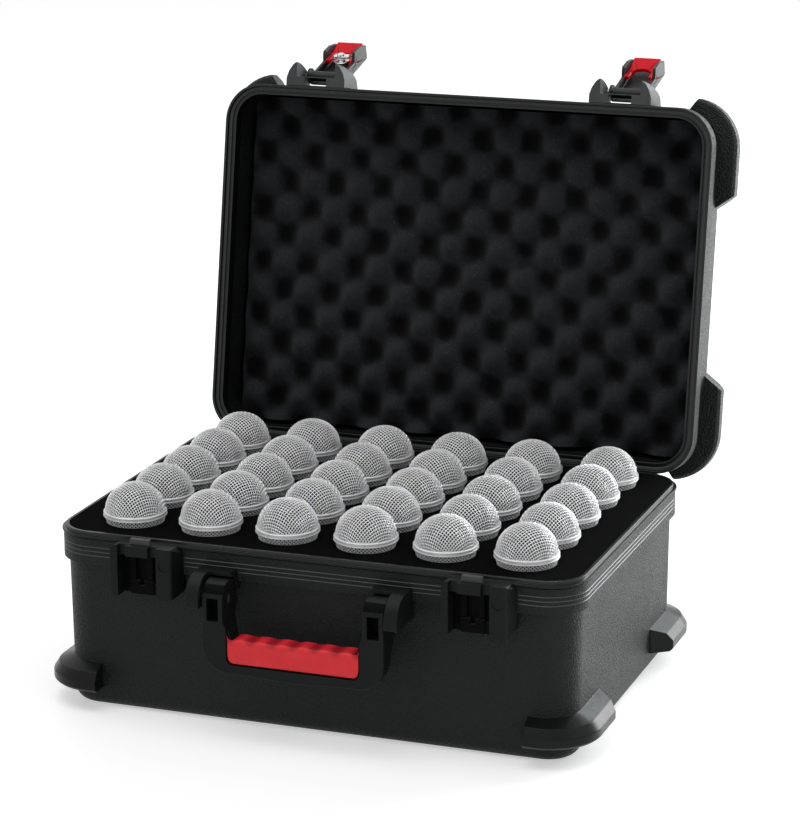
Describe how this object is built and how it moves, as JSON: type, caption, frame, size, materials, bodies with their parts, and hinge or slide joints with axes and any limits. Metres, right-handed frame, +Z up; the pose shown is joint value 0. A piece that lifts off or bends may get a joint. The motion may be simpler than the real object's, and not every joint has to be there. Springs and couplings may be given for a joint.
{
  "type": "microphone case",
  "caption": "Moulded microphone case with a hinged lid, draw latches, a swinging carry handle and a foam insert full of handheld microphones.",
  "frame": {"origin": "middle of the base's flat underside", "axes": "+Z up, front with latches and handle faces -Y, +X along the long side to the right"},
  "size_m": [0.461, 0.5, 0.4692],
  "materials": {
    "shell": "matte",
    "fittings": "satin",
    "hinge": "satin",
    "foam": "matte",
    "gasket": "matte",
    "steel": "satin",
    "lock_metal": "polished",
    "release_red": "satin",
    "grip_red": "matte",
    "microphone": "satin"
  },
  "bodies": {
    "base": {"base_shell": "shell", "base_pad": "foam", "foam_lower": "foam", "foam_upper": "foam", "catch_housing_left": "fittings", "catch_housing_right": "fittings", "handle_bracket_left": "fittings", "handle_bracket_right": "fittings", "handle_pin_left": "steel", "handle_pin_right": "steel", "hinge_base_leaf_left": "hinge", "hinge_base_leaf_right": "hinge", "hinge_pin_left": "steel", "hinge_pin_right": "steel"},
    "lid": {"lid_shell": "shell", "lid_gasket": "gasket", "lid_foam": "foam", "latch_bracket_left": "fittings", "latch_bracket_right": "fittings", "latch_pin_left": "steel", "latch_pin_right": "steel", "hinge_lid_leaf_left": "hinge", "hinge_lid_leaf_right": "hinge"},
    "lever_left": {"latch_lever_left": "fittings"},
    "lever_right": {"latch_lever_right": "fittings"},
    "release_left": {"release_left": "release_red"},
    "release_right": {"release_right": "release_red"},
    "lock": {"lock_cylinder": "lock_metal"},
    "handle": {"handle_frame": "fittings", "handle_grip": "grip_red"},
    "mic_1_1": {"mic_1_1": "microphone"},
    "mic_1_2": {"mic_1_2": "microphone"},
    "mic_1_3": {"mic_1_3": "microphone"},
    "mic_1_4": {"mic_1_4": "microphone"},
    "mic_1_5": {"mic_1_5": "microphone"},
    "mic_1_6": {"mic_1_6": "microphone"},
    "mic_2_1": {"mic_2_1": "microphone"},
    "mic_2_2": {"mic_2_2": "microphone"},
    "mic_2_3": {"mic_2_3": "microphone"},
    "mic_2_4": {"mic_2_4": "microphone"},
    "mic_2_5": {"mic_2_5": "microphone"},
    "mic_2_6": {"mic_2_6": "microphone"},
    "mic_3_1": {"mic_3_1": "microphone"},
    "mic_3_2": {"mic_3_2": "microphone"},
    "mic_3_3": {"mic_3_3": "microphone"},
    "mic_3_4": {"mic_3_4": "microphone"},
    "mic_3_5": {"mic_3_5": "microphone"},
    "mic_3_6": {"mic_3_6": "microphone"},
    "mic_4_1": {"mic_4_1": "microphone"},
    "mic_4_2": {"mic_4_2": "microphone"},
    "mic_4_3": {"mic_4_3": "microphone"},
    "mic_4_4": {"mic_4_4": "microphone"},
    "mic_4_5": {"mic_4_5": "microphone"},
    "mic_4_6": {"mic_4_6": "microphone"},
    "mic_5_1": {"mic_5_1": "microphone"},
    "mic_5_2": {"mic_5_2": "microphone"},
    "mic_5_3": {"mic_5_3": "microphone"},
    "mic_5_4": {"mic_5_4": "microphone"},
    "mic_5_5": {"mic_5_5": "microphone"},
    "mic_5_6": {"mic_5_6": "microphone"}
  },
  "joints": [
    {"name": "lid_hinge", "type": "hinge", "parent": "base", "child": "lid", "pos_m": [0, 0.1595, 0.1367], "axis": [1, 0, 0], "range_deg": [0, 100.2]},
    {"name": "latch_left", "type": "hinge", "parent": "lid", "child": "lever_left", "pos_m": [-0.1369, 0.248, 0.4484], "axis": [1, 0, 0], "range_deg": [0, 155.4]},
    {"name": "latch_right", "type": "hinge", "parent": "lid", "child": "lever_right", "pos_m": [0.1369, 0.248, 0.4484], "axis": [1, 0, 0], "range_deg": [0, 155.4]},
    {"name": "handle_swing", "type": "hinge", "parent": "base", "child": "handle", "pos_m": [0, -0.169, 0.1124], "axis": [-1, 0, 0], "range_deg": [0, 90]},
    {"name": "release_left_press", "type": "hinge", "parent": "lever_left", "child": "release_left", "pos_m": [-0.1369, 0.28406, 0.45674], "axis": [-1, 0, 0], "range_deg": [0, 5], "stiffness_Nm_per_rad": 0.05, "springref_deg": -20.05},
    {"name": "release_right_press", "type": "hinge", "parent": "lever_right", "child": "release_right", "pos_m": [0.1369, 0.28406, 0.45674], "axis": [-1, 0, 0], "range_deg": [0, 5], "stiffness_Nm_per_rad": 0.05, "springref_deg": -20.05},
    {"name": "lock_turn", "type": "hinge", "parent": "lever_left", "child": "lock", "pos_m": [-0.1369, 0.28755, 0.45722], "axis": [0, -0.2487, 0.9686], "range_deg": [0, 90]},
    {"name": "mic_1_1_lift", "type": "slide", "parent": "base", "child": "mic_1_1", "axis": [0, 0, -1], "range_m": [-0.15, 0]},
    {"name": "mic_1_2_lift", "type": "slide", "parent": "base", "child": "mic_1_2", "axis": [0, 0, -1], "range_m": [-0.15, 0]},
    {"name": "mic_1_3_lift", "type": "slide", "parent": "base", "child": "mic_1_3", "axis": [0, 0, -1], "range_m": [-0.15, 0]},
    {"name": "mic_1_4_lift", "type": "slide", "parent": "base", "child": "mic_1_4", "axis": [0, 0, -1], "range_m": [-0.15, 0]},
    {"name": "mic_1_5_lift", "type": "slide", "parent": "base", "child": "mic_1_5", "axis": [0, 0, -1], "range_m": [-0.15, 0]},
    {"name": "mic_1_6_lift", "type": "slide", "parent": "base", "child": "mic_1_6", "axis": [0, 0, -1], "range_m": [-0.15, 0]},
    {"name": "mic_2_1_lift", "type": "slide", "parent": "base", "child": "mic_2_1", "axis": [0, 0, -1], "range_m": [-0.15, 0]},
    {"name": "mic_2_2_lift", "type": "slide", "parent": "base", "child": "mic_2_2", "axis": [0, 0, -1], "range_m": [-0.15, 0]},
    {"name": "mic_2_3_lift", "type": "slide", "parent": "base", "child": "mic_2_3", "axis": [0, 0, -1], "range_m": [-0.15, 0]},
    {"name": "mic_2_4_lift", "type": "slide", "parent": "base", "child": "mic_2_4", "axis": [0, 0, -1], "range_m": [-0.15, 0]},
    {"name": "mic_2_5_lift", "type": "slide", "parent": "base", "child": "mic_2_5", "axis": [0, 0, -1], "range_m": [-0.15, 0]},
    {"name": "mic_2_6_lift", "type": "slide", "parent": "base", "child": "mic_2_6", "axis": [0, 0, -1], "range_m": [-0.15, 0]},
    {"name": "mic_3_1_lift", "type": "slide", "parent": "base", "child": "mic_3_1", "axis": [0, 0, -1], "range_m": [-0.15, 0]},
    {"name": "mic_3_2_lift", "type": "slide", "parent": "base", "child": "mic_3_2", "axis": [0, 0, -1], "range_m": [-0.15, 0]},
    {"name": "mic_3_3_lift", "type": "slide", "parent": "base", "child": "mic_3_3", "axis": [0, 0, -1], "range_m": [-0.15, 0]},
    {"name": "mic_3_4_lift", "type": "slide", "parent": "base", "child": "mic_3_4", "axis": [0, 0, -1], "range_m": [-0.15, 0]},
    {"name": "mic_3_5_lift", "type": "slide", "parent": "base", "child": "mic_3_5", "axis": [0, 0, -1], "range_m": [-0.15, 0]},
    {"name": "mic_3_6_lift", "type": "slide", "parent": "base", "child": "mic_3_6", "axis": [0, 0, -1], "range_m": [-0.15, 0]},
    {"name": "mic_4_1_lift", "type": "slide", "parent": "base", "child": "mic_4_1", "axis": [0, 0, -1], "range_m": [-0.15, 0]},
    {"name": "mic_4_2_lift", "type": "slide", "parent": "base", "child": "mic_4_2", "axis": [0, 0, -1], "range_m": [-0.15, 0]},
    {"name": "mic_4_3_lift", "type": "slide", "parent": "base", "child": "mic_4_3", "axis": [0, 0, -1], "range_m": [-0.15, 0]},
    {"name": "mic_4_4_lift", "type": "slide", "parent": "base", "child": "mic_4_4", "axis": [0, 0, -1], "range_m": [-0.15, 0]},
    {"name": "mic_4_5_lift", "type": "slide", "parent": "base", "child": "mic_4_5", "axis": [0, 0, -1], "range_m": [-0.15, 0]},
    {"name": "mic_4_6_lift", "type": "slide", "parent": "base", "child": "mic_4_6", "axis": [0, 0, -1], "range_m": [-0.15, 0]},
    {"name": "mic_5_1_lift", "type": "slide", "parent": "base", "child": "mic_5_1", "axis": [0, 0, -1], "range_m": [-0.15, 0]},
    {"name": "mic_5_2_lift", "type": "slide", "parent": "base", "child": "mic_5_2", "axis": [0, 0, -1], "range_m": [-0.15, 0]},
    {"name": "mic_5_3_lift", "type": "slide", "parent": "base", "child": "mic_5_3", "axis": [0, 0, -1], "range_m": [-0.15, 0]},
    {"name": "mic_5_4_lift", "type": "slide", "parent": "base", "child": "mic_5_4", "axis": [0, 0, -1], "range_m": [-0.15, 0]},
    {"name": "mic_5_5_lift", "type": "slide", "parent": "base", "child": "mic_5_5", "axis": [0, 0, -1], "range_m": [-0.15, 0]},
    {"name": "mic_5_6_lift", "type": "slide", "parent": "base", "child": "mic_5_6", "axis": [0, 0, -1], "range_m": [-0.15, 0]}
  ]
}
